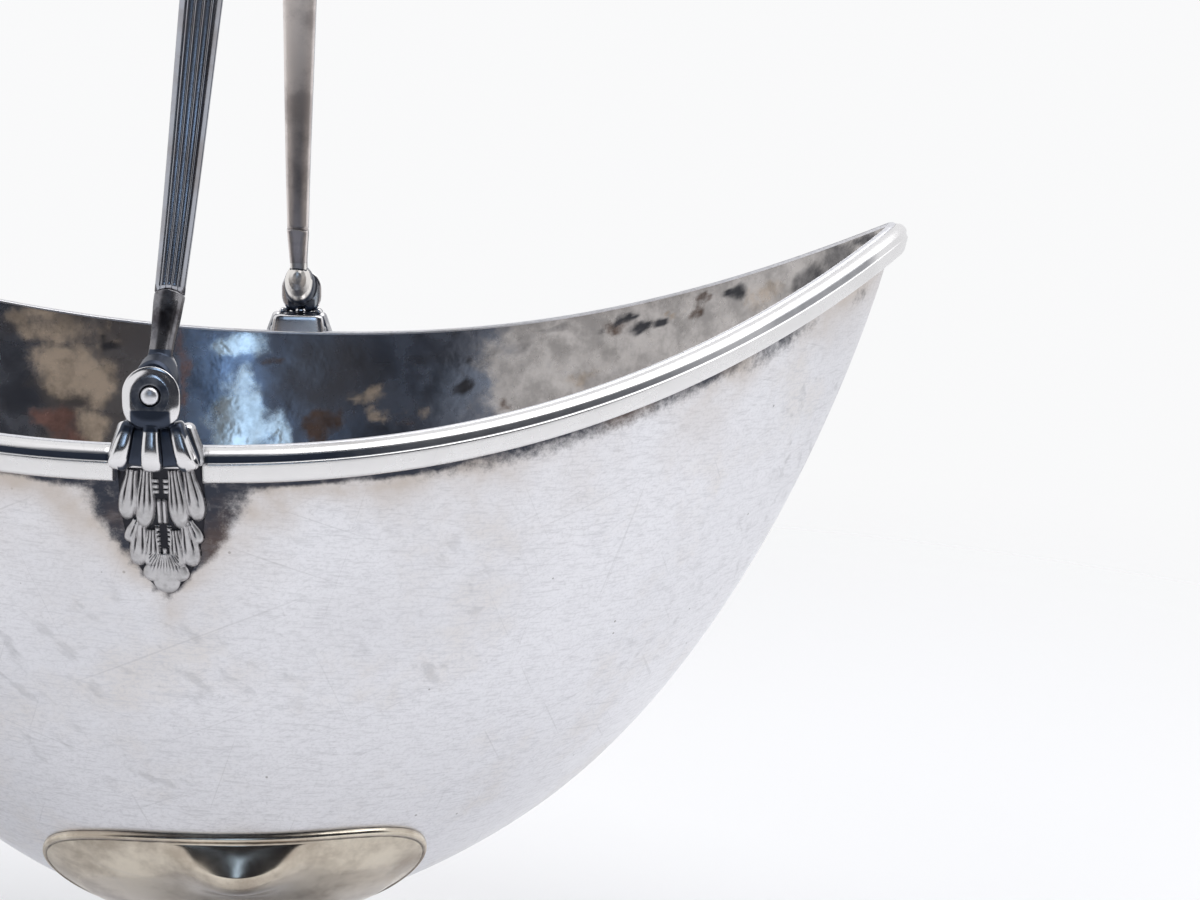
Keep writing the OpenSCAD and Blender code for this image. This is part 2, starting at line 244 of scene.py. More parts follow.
RIM_TALL = 3.9
bx, by, bz = (bowl_grid[..., k] for k in range(3))
below_rim = RIM_Z + sheer(np.cos(turns))[None] - bz
under = np.clip(below_rim - RIM_TALL, 0, None)
wander = ripple(bx, bz, 26, 3)
near_rim = ease(1.0, 2.5, below_rim)
print("the wall reaches", round(float(under.max()), 1), "mm below the moulding")

# %% Tarnish and painted shade under the rim
PATCHES = (  # place along and below the rim, half length, half height, strength
    (49, 4.7, 18, 1.5, 0.85), (69, 5.2, 4.5, 1.8, 0.9), (80, 7.0, 1.5, 1.2, 0.45), (28, 4.2, 14, 0.6, 0.8))
# Just under the moulding the wall darkens: partly tarnish, partly painted shade under the moulding.
line = np.exp(-under / (0.35 + 0.6 * ease(0.1, 1, wander)))
patches = np.maximum.reduce([
    much * blot(bx, below_rim, (x, z), (wide, tall), 0.7) for x, z, wide, tall, much in PATCHES])
patches = patches * (0.7 + 0.3 * ease(-0.4, 0.6, wander)) * (by < 0)
print(len(PATCHES), "patches under the rim")

# %% Tarnish round the leaves
leaf_half = 4.7 * np.clip(1 - (under / 13.2) ** 2.4, 0, 1) ** 0.6
aside = np.clip(np.abs(bx) - leaf_half, 0, None)
rough_edge = 1 + 0.25 * ripple(bx, bz, 7, 4)
margin = (np.where(bx * -np.sign(by) > 0, 5.4, 4.8) - 0.42 * under).clip(0.3) * rough_edge
tail = (0.25 + 2.2 * np.exp(-aside / 6)) * rough_edge
halo = np.maximum(1 - ease(0.5, 1.3, aside / margin), 1 - ease(0.35, 1.6, under / tail))
halo = halo * (1 - ease(12.5, 15.5, under))
dark = np.clip(0.85 * line + patches + halo, 0, 1) * near_rim
corner = np.log((aside + 0.7) * (under + 0.7) / 15)
warm_leaf = 0.9 * (1 - ease(-0.2, 1.7, corner)) * (1 - ease(13, 20, under))
# The beige band under the rim is partly warm tarnish and partly painted shade.
warm_rim = 1.3 * np.exp(-under / 5) * ease(-1.0, 0.4, wander)
mark(bowl_mesh, "warm", np.clip(warm_leaf + warm_rim, 0, 1) * near_rim)
mark(bowl_mesh, "tarnish_and_shade", dark)
print("tarnish covers", round(float((dark > 0.3).mean() * 100), 1), "% of the points")

# %% Colours of the inside
# Each colour has a fourth number, from 0 for a dull deposit to 1 for bare metal.
SLATE, STEEL, MURK = (0.20, 0.22, 0.27, 0.9), (0.34, 0.41, 0.53, 1), (0.29, 0.25, 0.225, 0.6)
BROWN, SHADOW = (0.10, 0.08, 0.07, 0.4), (0.10, 0.09, 0.09, 0.5)
ix = bx + 1.5 * ripple(bx, bz, 9, 11)
iz = below_rim + 1.2 * ripple(bx, bz, 8, 12)
patina = np.empty(bowl_grid.shape[:2] + (4,))
patina[:] = SLATE


def lay(colour, weight):
    patina[:] += (np.array(colour) - patina) * np.clip(weight, 0, 1)[..., None]


lay(STEEL, ease(0.3, 0.9, ripple(bx, bz, 30, 7)) * 0.4)
lay(MURK, blot(ix, iz, (-31, 12), (15, 30)) * 0.75)
lay(SLATE, blot(ix, iz, (-41, 12), (3.5, 30)) * 0.8)
flecks = ease(0.1, 0.6, ripple(bx, bz, 11, 21)) * (1 - ease(14, 18, np.abs(ix + 28)))
lay(BROWN, flecks * 0.55)
lay(STEEL, blot(ix, iz, (-12, 10), (6.5, 18)) * 0.9)
lay(SHADOW, blot(ix, iz, (4, 6), (8, 7), 0.6) * 0.85)
tint(bowl_mesh, "patina", patina)
print("mean colour inside:", patina[in_first:, :, :3].mean((0, 1)).round(2).tolist())

# %% Stains of the inside and a painted window reflection
STAINS = {  # colour, then spots: place along and below the rim, half length, half height, strength
    "ash": ((0.68, 0.64, 0.615, 0.55), (
        (129.5, 20, 100, 300, 1.0), (-132, 20, 80, 300, 1.0))),
    "rose": ((0.34, 0.19, 0.16, 0.3), (
        (-35, 17, 3.8, 2.6, 0.95), (-32, 19.5, 3, 2.4, 0.85), (-17.5, 6, 1.0, 8, 0.75))),
    "tan": ((0.66, 0.53, 0.41, 0.15), (
        (-37, 2.4, 6.5, 2.8, 0.75), (-33.5, 8.6, 6.0, 4.2, 1), (-30, 9.5, 3, 4, 0.85),
        (-29.8, 17, 2.4, 3.4, 0.95), (-28, 3, 2.5, 1.5, 0.5), (11, 9.6, 2.6, 1.1, 0.8),
        (13.4, 12.6, 2.4, 1.6, 0.8), (19.8, 12.4, 1.9, 1.4, 0.8), (57.6, 3, 0.9, 0.7, 0.8),
        (44, 10, 3, 1.5, 0.5), (70, 4, 3, 2, 0.5))),
    # The sky spots below are a painted reflection of a window: pale blue and partly metallic.
    "sky": ((0.92, 1.0, 1.0, 0.65), (
        (-8.6, 2, 4.2, 2.2, 1.0), (-8.8, 14.5, 4.1, 6.5, 1.2), (-8, 8, 1.8, 3, 0.8),
        (-2.5, 15.5, 2.2, 3.4, 1.0))),
    "umber": ((0.13, 0.075, 0.05, 0.3), (
        (4, 15, 2.4, 3.4, 0.9), (-4, 4.4, 1.8, 0.9, 0.6), (17, 14.4, 1.3, 1.3, 0.6),
        (49.2, 3.1, 1.9, 1.0, 0.7), (61.7, 2.3, 1.2, 0.8, 0.8), (60.4, 4, 1.5, 0.9, 0.8),
        (32, 12, 1.5, 1.2, 0.6))),
    "soot": ((0.05, 0.05, 0.06, 0.4), (
        (25.4, 9.2, 1.4, 1.5, 0.95), (26.6, 4.9, 1.0, 0.8, 0.8), (19, 4, 2.2, 0.9, 0.55),
        (13, 5, 1.3, 0.8, 0.55), (-27.8, 3.6, 1.8, 1, 0.9), (34, 3.5, 3.5, 1.2, 0.55),
        (40, 2.2, 2, 0.8, 0.55), (53, 4, 1.6, 1.4, 1.1), (55.5, 3.9, 1.1, 1.0, 1.1),
        (50.6, 1.8, 1.2, 0.9, 1), (47, 3.6, 1.2, 0.8, 0.6), (65.8, 2.8, 1.7, 1.2, 1),
        (75.3, 3.9, 2.6, 2.2, 0.75), (78.6, 2.3, 1.7, 1.4, 0.7), (81.6, 1.4, 1.5, 1.2, 0.85)))}
for stain, (_, spots) in STAINS.items():
    depth = [strength * blot(ix, iz, (x, z), (wide, tall), min(0.6, 6 / wide))
             for x, z, wide, tall, strength in spots]
    mark(bowl_mesh, stain, np.maximum.reduce(depth))
print(sum(len(spots) for _, spots in STAINS.values()), "stains inside the bowl")

# %% [markdown]
# ## The rim
# A moulding drawn through a shaped hole is bent round the outside of the edge and soldered on, in
# two lengths that stop at the hinges. Its section is a lip, a hollow and a half-round band. A curve
# with a bevel profile would do, but a sweep over the bowl's own skin keeps the section upright on
# the leaning wall. The hollow collects polish and tarnish, so the points there carry a weight for
# the dark finish. That weight is also painted shade: in the hollow, and on the slope under the lip
# near the hinges and towards the tips.

# %% Rim mouldings
MOUNT_HALF = 4.95
SECTION = (  # drop below the edge, distance out
    (0, 0), (0.04, 0.55), (0.15, 0.92), (0.38, 1.2), (0.62, 1.44), (0.70, 1.50), (0.76, 1.51),
    (0.95, 1.55), (1.20, 1.61), (1.45, 1.70), (1.53, 1.80), (1.62, 1.87), (1.75, 1.90), (3.00, 1.90),
    (3.40, 1.87), (3.65, 1.76), (3.82, 1.52), (3.88, 1.20), (3.90, 0.9), (3.90, 0))


def rounded(line):
    a, b = line[:-1], line[1:]
    cut_corners = np.stack([0.75 * a + 0.25 * b, 0.25 * a + 0.75 * b], 1).reshape(-1, line.shape[1])
    return np.concatenate([line[:1], cut_corners, line[-1:]])


section = rounded(np.array(SECTION, float))
hollow = ease(0.66, 0.8, section[:, 0]) * (1 - ease(1.4, 1.65, section[:, 0]))
soft = ease(0.2, 0.62, section[:, 0]) * (1 - ease(1.4, 1.75, section[:, 0]))
N_BEND = 361
reach = math.acos(MOUNT_HALF / HALF_L)
bend = np.linspace(-reach, reach, N_BEND)
edge = bare_skin(bend + TINY, 0 * bend) - bare_skin(bend - TINY, 0 * bend)
away = np.stack([edge[:, 1], -edge[:, 0], 0 * bend], -1)
away /= np.linalg.norm(away, axis=1, keepdims=True)
moulding = bare_skin(bend[:, None], dip_at_drop(bend[:, None], section[None, :, 0]))
moulding += section[None, :, 1, None] * away[:, None]
print("section of", len(section), "points, swept over", N_BEND, "stations")

# %% The two lengths of moulding
rims = []
for side, way in (("right", 1), ("left", -1)):
    swept = moulding * (way, 1, 1)
    mesh = grid_mesh("rim_" + side, swept[::-way], caps=True)
    x = np.abs(swept[..., 0])
    # Dark weight: tarnish in the hollow, with painted shade in the hollow and on the slope under the lip.
    tarnish_and_shade_in_hollow = hollow * (0.75 - 0.15 * ease(14, 30, x) - 0.1 * ease(50, 65, x))
    painted_shade_under_lip = soft * (0.6 * (1 - ease(8, 24, x)) + 0.55 * ease(54, 70, x))
    grime = np.maximum(tarnish_and_shade_in_hollow, painted_shade_under_lip) * (1 - ease(80, 85, x))
    mark(mesh, "film_and_shade", grime[::-way])
    rims.append(new_piece("rim_" + side, mesh, "basket", "rim_moulding_" + side))

# %% [markdown]
# ## The castings
# Each hinge mount is cast: a shoulder of fat rounded lobes with one round lug, and behind it a
# small block on the rim. The plain handle ends are castings too: an oval shank with a bulb. Two
# centuries of polishing leave no sharp edge on such a casting, and a boolean union would make many.
# So it is modelled as a founder would in wax: simple lumps are pressed together, remeshed into
# small even cells, and relaxed. How far a point lies below its smoothed surroundings shows where
# the cloth can't reach, and that weight later darkens the metal, as tarnish left in the hollows and
# as painted shade there. Painted shade and painted dark reflection are added by place on the mounts
# and the handle ends.

# %% Lumps of wax
def bent(x, square):
    return np.sign(x) * np.abs(x) ** square


def rod(a, b, ra, rb, square=1.0, slim=1.0):
    a, b = np.array(a, float), np.array(b, float)
    axis = (b - a) / np.linalg.norm(b - a)
    side = np.cross(axis, (0, 1, 0))
    side /= np.linalg.norm(side)
    spin = np.linspace(0, 2 * math.pi, 48, endpoint=False)[:, None]
    circle = slim * bent(np.cos(spin), square) * side + bent(np.sin(spin), square) * np.cross(axis, side)
    cap = np.linspace(0.08, 1.52, 14)
    stations = [(0, -w) for w in cap[::-1]]
    stations += [(f, 0) for f in np.linspace(0, 1, 16)] + [(1, w) for w in cap]
    rows = []
    for f, w in stations:
        outward = bent(math.sin(w), square) * axis + math.cos(w) ** square * circle
        rows.append(a + (b - a) * f + (ra + (rb - ra) * f) * outward)
    return np.stack(rows)


def pillow(middle, half, square=0.35):
    w, v = np.meshgrid(np.linspace(0, 2 * math.pi, 64, endpoint=False), np.linspace(-1.54, 1.54, 40))
    flank, rise = bent(np.cos(v), square), bent(np.sin(v), square)
    unit = np.stack([flank * bent(np.cos(w), square), flank * bent(np.sin(w), square), rise], -1)
    return np.array(middle) + unit * half


def disc(profile, height, tail=0.0):
    spin = np.linspace(0, 2 * math.pi, 96, endpoint=False)
    r, o = np.array(profile, float).T
    flat = np.broadcast_to(o[:, None], (len(o), len(spin)))
    c, n = np.cos(spin)[None], np.sin(spin)[None]
    square = np.where((n < -1e-6) & (tail > 0), 1 - 0.22 * ease(1.4, 2.1, r)[:, None], 1)
    x = r[:, None] * np.sign(c) * np.abs(c) ** square
    z = r[:, None] * np.sign(n) * np.abs(n) ** square - tail * ease(1.4, 2.1, r)[:, None] * (n < -1e-6)
    return np.stack([x, flat, height + z], -1)

# %% Press, remesh and relax
def sunk(mesh, rounds=30):
    place, normal = (np.empty(len(mesh.vertices) * 3) for _ in range(2))
    mesh.vertices.foreach_get("co", place)
    mesh.vertices.foreach_get("normal", normal)
    ends = np.empty(len(mesh.edges) * 2, int)
    mesh.edges.foreach_get("vertices", ends)
    a, b = ends.reshape(-1, 2).T
    count = np.bincount(np.concatenate([a, b]), minlength=len(mesh.vertices))[:, None]
    start = place.reshape(-1, 3) / MM
    soft = start.copy()
    for _ in range(rounds):
        total = np.zeros_like(soft)
        np.add.at(total, a, soft[b])
        np.add.at(total, b, soft[a])
        soft = total / count
    return ((soft - start) * normal.reshape(-1, 3)).sum(1)


HOLLOW = 0.035  # a point this many millimetres low is fully dark


def casting(name, lumps, cell, rounds, body, node, shade=None):
    points, faces, start = [], [], 0
    for lump in lumps:
        n, m = lump.shape[:2]
        points.append(lump.reshape(-1, 3) * MM)
        faces += (grid_faces(n, m) + start).tolist()
        faces += [list(range(start, start + m))[::-1], list(range(start + (n - 1) * m, start + n * m))]
        start += n * m
    wax = bpy.data.meshes.new(name)
    wax.from_pydata(np.concatenate(points).tolist(), [], faces)
    model = bpy.data.objects.new(name, wax)
    scene.collection.objects.link(model)
    cast = model.modifiers.new("cast", "REMESH")
    cast.mode, cast.voxel_size = "VOXEL", cell * MM
    rub = model.modifiers.new("rub", "SMOOTH")
    rub.factor, rub.iterations = 0.5, rounds
    mesh = bpy.data.meshes.new_from_object(model.evaluated_get(bpy.context.evaluated_depsgraph_get()))
    bpy.data.objects.remove(model)
    # Points sunk below their surroundings darken, as tarnish left in the hollows and as painted shade
    # there.
    film = np.clip(sunk(mesh) / HOLLOW, 0, 1)
    if shade:
        film = np.maximum(film, shade(*(np.array([v.co for v in mesh.vertices]) / MM).T))
    mark(mesh, "film_and_shade", film)
    return new_piece(name, mesh, body, node)

# %% Hinge mounts
PIN_UP = 6.2
LUG = [  # radius, distance out from the bowl
    (0.02, 3.28), (2.4, 3.28), (2.85, 3.3), (3.08, 3.4), (3.14, 3.52), (3.05, 3.68), (2.85, 3.84),
    (2.6, 4.0), (2.35, 4.12), (2.15, 4.18), (1.95, 4.2), (1.22, 4.2), (1.16, 4.16), (1.12, 4.05),
    (1.1, 3.9), (0.02, 3.88)]
LUG_TAIL = 0.6
lug = disc(LUG, PIN_UP, LUG_TAIL)
lug[..., 1] -= 0.07 * (lug[..., 2] - 4.5) * ease(3.5, 3.9, lug[..., 1])


def bowed(lump):
    rise = lump[..., 2] - 0.6
    lump[..., 1] -= np.where(rise < 0, 0.1, 0.075) * rise ** 2
    return lump


block = pillow((0, 0.55, 0.9), (3.8, 1.5, 1.7), 0.25)
block[..., 0] *= 1.1 - 0.04 * block[..., 2]
block[..., 1] += 0.07 * (block[..., 2] + 0.8)
LUMPS = [pillow((0, 0.6, -0.5), (4.4, 1.3, 1.7)), block, pillow((0, 1.9, 0.5), (3.6, 1.6, 2.3), 0.5), lug,
         bowed(rod((0, 3.5, -0.75), (0, 3.55, 2.2), 1.45, 1.15, 0.55, 0.78))]
for side in (-1, 1):
    LUMPS += [bowed(rod((side * 3.6, 3.1, -0.8), (side * 2.7, 3.15, 2.3), 1.35, 0.98, 0.55, 0.8)),
              rod((side * 4.1, 1.2, -0.8), (side * 3.35, 1.3, 1.9), 1.2, 1.0, 0.8)]
print(len(LUMPS), "lumps for each mount")

# %% Cast the mounts
HINGES = (("front", -1), ("back", 1))
MOUNT_CELL, MOUNT_RUBS = 0.08, 4


def at_hinge(lump, way):
    return np.stack([lump[..., 0], way * (HALF_W + lump[..., 1]), RIM_Z + lump[..., 2]], -1)


def mount_painted_shade(x, y, z):
    # Painted shade and painted dark reflection, set by place: the grooves between the lobes, the lug's
    # face, the mount's flanks and the neck below the lug.
    across, out, high = np.abs(x), np.abs(y) - HALF_W, z - RIM_Z
    grooves = 0.85 * (1 - ease(3.7, 4.3, out)) * ease(2.3, 2.7, out)
    grooves = grooves * (1 - ease(3.2, 3.6, high)) * (across < 3.7)
    face = 0.65 * (np.hypot(x, high - PIN_UP) < 2.05) * ease(3.6, 3.75, out)
    flanks = 0.5 * ease(3.4, 4.0, across) * (1 - ease(2.0, 2.6, out))
    neck = 0.85 * ease(2.0, 2.6, high) * (1 - ease(4.4, 5.2, high))
    neck = neck * (1 - ease(1.9, 2.5, across)) * ease(3.0, 3.4, out)
    return np.maximum.reduce([grooves, face, flanks, neck])


def mount(end, way):
    lumps = [at_hinge(lump, way) for lump in LUMPS]
    return casting("mount_" + end, lumps, MOUNT_CELL, MOUNT_RUBS, "basket", "hinge_mount_" + end,
                   mount_painted_shade)


mounts = [mount(*hinge) for hinge in HINGES]

# %% [markdown]
# ## The rivets
# Each hinge turns on a short silver rod whose outer end is hammered over to a low dome. A cylinder
# with a bevel would look turned by machine, so its profile is drawn point by point and spun round
# the pin's line.

# %% Rivets
RIVET = [  # radius, distance out from the bowl
    (0.02, -0.4), (0.9, -0.4), (0.92, 3.7), (0.99, 3.8), (0.98, 4.12), (0.88, 4.34), (0.62, 4.47),
    (0.35, 4.53), (0.02, 4.55)]


def rivet(end, way):
    grid = at_hinge(disc(RIVET, PIN_UP), way)
    mesh = grid_mesh("rivet_" + end, grid[:, ::way], caps=True)
    return new_piece("rivet_" + end, mesh, "basket", "hinge_pin_" + end)


rivets = [rivet(*hinge) for hinge in HINGES]

# %% [markdown]
# ## The leaves
# An acanthus leaf hangs below each hinge: two tiers of lobes, each lobe cut with veins, a rib with
# ladder marks, and a plain tip with a fan of lines. It is chased metal, so it is built as relief:
# each lobe is a dome along its own line, and the highest of them wins. Outside the lobes the relief
# sinks under the bowl's skin, which gives the leaf its outline. The low places are marked, because
# they hold the black that polishing never reaches.

# %% One lobe of a leaf
LOBES = (  # from, to, half width, height, veins
    ((3.1, -1.5), (4.0, 4.0), 1.12, 1.15, 2), ((1.5, -1.5), (2.05, 5.0), 1.12, 1.25, 3),
    ((2.9, 4.2), (3.95, 6.8), 0.8, 0.75, 1), ((2.5, 4.8), (3.05, 9.5), 1.1, 1.0, 2),
    ((1.25, 5.4), (1.6, 9.7), 0.98, 1.1, 3), ((0.7, 8.6), (2.0, 11.3), 1.05, 0.85, 0),
    ((0, 8.2), (0, 12.8), 1.55, 0.95, 0))


def lobe_relief(x, d, start, end, half, height, veins):
    run = np.subtract(end, start)
    length = np.hypot(*run)
    t = ((x - start[0]) * run[0] + (d - start[1]) * run[1]) / length ** 2
    a = ((x - start[0]) * run[1] - (d - start[1]) * run[0]) / length
    full = 0.62 + 0.38 * ease(0, 0.6, t)
    width = half * full * np.sqrt(np.clip(1 - np.clip((t - 0.6) / 0.42, 0, 1) ** 2.4, 0, 1)) * (t > -0.03)
    s = a / np.maximum(width, 1e-3)
    dome = np.sqrt(np.clip(1 - s * s, 0, 1)) * np.clip(1.02 - np.clip((t - 0.8) / 0.22, 0, 1) ** 2, 0, 1)
    dome = dome * (width > 0.05)
    cut = 0
    for k in range(veins):
        cut = np.maximum(cut, np.exp(-((s - (2 * k + 1 - veins) / veins * 0.8) / 0.1) ** 2))
    cut = cut * (1 - ease(0.45, 0.75, t)) * (dome > 0)
    return height * (0.25 + 0.75 * dome) * (dome > 0) * (0.72 + 0.28 * t) - 0.32 * cut, cut, dome


print(2 * len(LOBES) - 1, "lobes on a leaf")

# %% Relief of a leaf
def leaf_relief(x, d):
    ax = np.abs(x)
    top, cut = np.full(x.shape, -0.25), np.zeros(x.shape)
    plate = 0.3 * ease(0, 0.45, 4.8 * (1 - (d.clip(0) / 12.9) ** 2.4).clip(0) ** 0.6 - ax)
    top = np.maximum(top, np.where(plate > 0.02, plate, -0.25))
    for lobe in LOBES:
        high, veins, dome = lobe_relief(ax, d, *lobe)
        cut = np.where(high > top, veins, cut)
        top = np.where(dome > 0, np.maximum(top, high), top)
    ray = (np.arctan2(ax, d - 6.6) * 9) % 1
    fan = np.exp(-((ray - 0.5) / 0.17) ** 2) * ease(7.6, 8.2, d) * (1 - ease(9.4, 10.4, d)) * (ax < 1.6)
    cut, top = np.maximum(cut, fan), top - 0.2 * fan * (top > 0.3)
    rib = 0.7 * np.exp(-((ax - 0.3) / 0.26) ** 4) * ease(1.3, 1.9, d) * (1 - ease(4.3, 4.7, d))
    beads = 0.55 * np.exp(-((ax - 0.55) / 0.36) ** 4) * (np.sin(d * 2 * math.pi / 0.62) > -0.3)
    beads = beads * ease(-1, -0.8, d) * (1 - ease(0.9, 1.1, d))
    rungs = 0.62 * np.exp(-((ax - 0.66) / 0.3) ** 4) * ease(4.6, 4.8, d) * (1 - ease(7.3, 7.5, d))
    rungs = rungs * (0.35 + 0.65 * (np.sin(d * 2 * math.pi / 0.56) > -0.2))
    stem = 0.5 * np.exp(-(ax / 0.3) ** 4) * ease(7.2, 7.5, d) * (1 - ease(8.2, 8.8, d))
    middle = np.maximum.reduce([rib, beads, rungs, stem])
    return np.where(middle > 0.05, np.maximum(top, middle), top), cut

# %% Leaf pieces
N_ACROSS, N_DOWN, LEAF_SET = 177, 241, 0.45


def leaf_piece(end, way):
    x, d = np.meshgrid(np.linspace(-5.8, 5.8, N_ACROSS), np.linspace(-1.9, 14.2, N_DOWN))
    high, cut = leaf_relief(x, d - LEAF_SET)
    g = narrow(np.arcsin(((RIM_TALL + d) / DEPTH) ** (KEEL / 2)))
    wall = HALF_W * breadth(x / (HALF_L * g ** DRAW)) * g
    grid = np.stack([x, way * (wall + high), RIM_Z - RIM_TALL - d], -1)
    mesh = grid_mesh("leaf_" + end, grid[:, ::-way], round_cols=False)
    deep = np.clip(np.maximum(1 - ease(0.22, 0.48, high), 0.8 * cut), 0, 1)
    mark(mesh, "deep", deep[:, ::-way])
    return new_piece("leaf_" + end, mesh, "basket", "hinge_leaf_" + end)


leaves = [leaf_piece(*hinge) for hinge in HINGES]

# %% [markdown]
# ## The handle
# The handle is a strip with five reeds filed along its outer face, bent to an arch that stands a
# few degrees off upright. Its middle line is one curve for each arm. A curve object with a bevel
# would twist on such an arch, so the section is set square to the line at each station, and it
# widens towards the top as the real strip does.

# %% Line of the arch
PIN_Z = RIM_Z + PIN_UP
TALL, LEAN, JOINT_T, N_ARM = 80.0, math.radians(3.5), 0.14, 140
ARM = np.array([(HALF_W + 2.2, 0), (0.7 * HALF_W, 0.25 * TALL), (0.765 * HALF_W, TALL), (0, TALL)])


def arm(t):
    t = np.asarray(t)[..., None]
    s = 1 - t
    return s ** 3 * ARM[0] + 3 * t * s ** 2 * ARM[1] + 3 * t * t * s * ARM[2] + t ** 3 * ARM[3]


half_line = arm(np.linspace(JOINT_T, 1, N_ARM))
line_up = np.concatenate([half_line * (-1, 1), half_line[-2::-1]])
arch_long = np.linalg.norm(np.diff(line_up, axis=0), axis=1).sum()
heading = np.gradient(line_up, axis=0)
heading /= np.linalg.norm(heading, axis=1, keepdims=True)
print("the strip is", round(float(arch_long), 1), "mm long")

# %% Section of the strip
STRIP_LOW, STRIP_TOP, STRIP_T, REEDS, REED_DEEP = 3.2, 7.0, 2.2, 5, 0.22
strip = STRIP_LOW + (STRIP_TOP - STRIP_LOW) * (line_up[:, 1] - half_line[0, 1]) / TALL
k = np.linspace(0, 1, REEDS * 12 + 1)
reed = np.abs(np.sin(math.pi * REEDS * k)) ** 0.09
crown = 0.6 * np.abs(2 * k - 1) ** 6
face = np.stack([k - 0.5, STRIP_T / 2 - REED_DEEP * (1 - reed) * (crown < 0.3) - crown], -1)
back = np.array([(0.5 * math.cos(a), -0.1 - math.sin(a)) for a in np.linspace(0, math.pi, 25)])
outline = np.concatenate([back, face])
print("section of", len(outline), "points with", REEDS, "reeds")

# %% Handle arch
def leaned(points):
    x, z = points[..., 0], points[..., 2]
    return np.stack([x * math.cos(LEAN) + z * math.sin(LEAN), points[..., 1],
                     PIN_Z + z * math.cos(LEAN) - x * math.sin(LEAN)], -1)


arch = np.empty((len(line_up), len(outline), 3))
arch[..., 0] = outline[None, :, 0] * strip[:, None]
arch[..., 1] = line_up[:, None, 0] - outline[None, :, 1] * heading[:, None, 1]
arch[..., 2] = line_up[:, None, 1] + outline[None, :, 1] * heading[:, None, 0]
notch = 0.4 * np.exp(-np.minimum(np.arange(len(arch)), np.arange(len(arch))[::-1]) / 1.5)
arch[..., 2] -= notch[:, None] * np.abs(outline[None, :, 0]) * 2
arch = leaned(arch)
arch_mesh = grid_mesh("handle_strip", arch, caps=True)
groove = np.concatenate([np.zeros(len(back)), 1 - reed])
# The grooves between the reeds darken, partly as tarnish and partly as painted shade.
mark(arch_mesh, "film_and_shade", np.broadcast_to(groove ** 3, arch.shape[:2]))
# The back of the strip, which faces in, gets the light copy of the silver; the reeded face gets a dark grey
# copy, a painted dark reflection.
inner = np.broadcast_to(np.arange(len(outline)) < len(back) - 1, (len(arch) - 1, len(outline)))
arch_mesh.polygons.foreach_set("material_index", np.concatenate([inner.ravel(), [0, 0]]).astype(np.int32))
handle = new_piece("handle_strip", arch_mesh, "handle", "handle_arch")

# %% Shank of a handle end
SHANK_W, SHANK_T, SHANK_SQUARE, N_SHANK = 3.3, 2.26, 0.72, 40
shank_t = np.linspace(0.03, JOINT_T - 0.0015, N_SHANK)
shank_line = arm(shank_t)
shank_way = np.gradient(shank_line, axis=0)
shank_way /= np.linalg.norm(shank_way, axis=1, keepdims=True)
spin = np.linspace(0, 2 * math.pi, 48, endpoint=False)
broader = 0.8 + 0.2 * ease(0.3, 1, np.linspace(0, 1, N_SHANK))
oval_x = broader[:, None] * SHANK_W / 2 * bent(np.cos(spin), SHANK_SQUARE)
oval_o = SHANK_T / 2 * bent(np.sin(spin), SHANK_SQUARE)
shank = np.stack([oval_x, shank_line[:, :1] + oval_o * shank_way[:, 1:],
                  shank_line[:, 1:] - oval_o * shank_way[:, :1]], -1)
shank[-6:, :, 2] -= 0.45 * np.abs(np.cos(spin)) * np.linspace(0, 1, 6)[:, None]
print("shank from", shank_line[0].round(1).tolist(), "to", shank_line[-1].round(1).tolist())

# %% Handle ends
BULB = [  # radius, distance out from the bowl
    (0.02, -2.0), (0.9, -1.86), (1.7, -1.42), (2.4, -0.6), (2.85, 0.5), (2.98, 1.6), (2.88, 2.5),
    (2.6, 2.9), (2.2, 3.05), (0.02, 3.05)]
END_CELL, END_RUBS = 0.07, 5


# Painted dark reflection on each handle end: the outer half of the bulb strongly, the shank above it less.
def painted_dark_on_ends(x, y, z):
    return np.where(z > PIN_Z + 4.5, 0.45, 0.85 * ease(-0.8, 0.6, np.abs(y) - HALF_W))


def handle_end(end, way):
    bulb = disc(BULB, 0.0) * (0.8, 1, 1.06)
    bulb[..., 2] += 0.6 + 1.6 * (1 - ease(-2, 2.2, bulb[..., 1]))
    bulb = np.stack([bulb[..., 0], way * (HALF_W + bulb[..., 1]), bulb[..., 2]], -1)
    lumps = [leaned(shank * (1, way, 1)), leaned(bulb)]
    piece = casting("arm_end_" + end, lumps, END_CELL, END_RUBS, "handle", "handle_end_" + end,
                    painted_dark_on_ends)
    # Faces looking outward get the dark grey copy of the silver, a painted dark reflection; faces looking
    # in get the light copies.
    for face in piece.data.polygons:
        inward = face.normal.y * way < -0.25 and abs(face.center.y) / MM < HALF_W + 0.8
        face.material_index = inward * (1 if face.center.z / MM < PIN_Z + 4.6 else 2)
    return piece


ends = [handle_end(*hinge) for hinge in HINGES]

# %% [markdown]
# ## The foot
# Under the bowl a calyx of two broad lobes holds the bowl's sides, with a raised bead along its
# edge, and stands on a spool that spreads to an oval foot with an applied ring. The calyx follows
# the bowl's skin a millimetre out. It was soldered on a few degrees askew, and each lobe swells to
# a smooth belly, which gathers the dark side of the room into one tongue. Sculpting could give that
# form too, but a formula keeps the polish free of dents. The spool and the ring are turned
# profiles, drawn wider one way than the other.

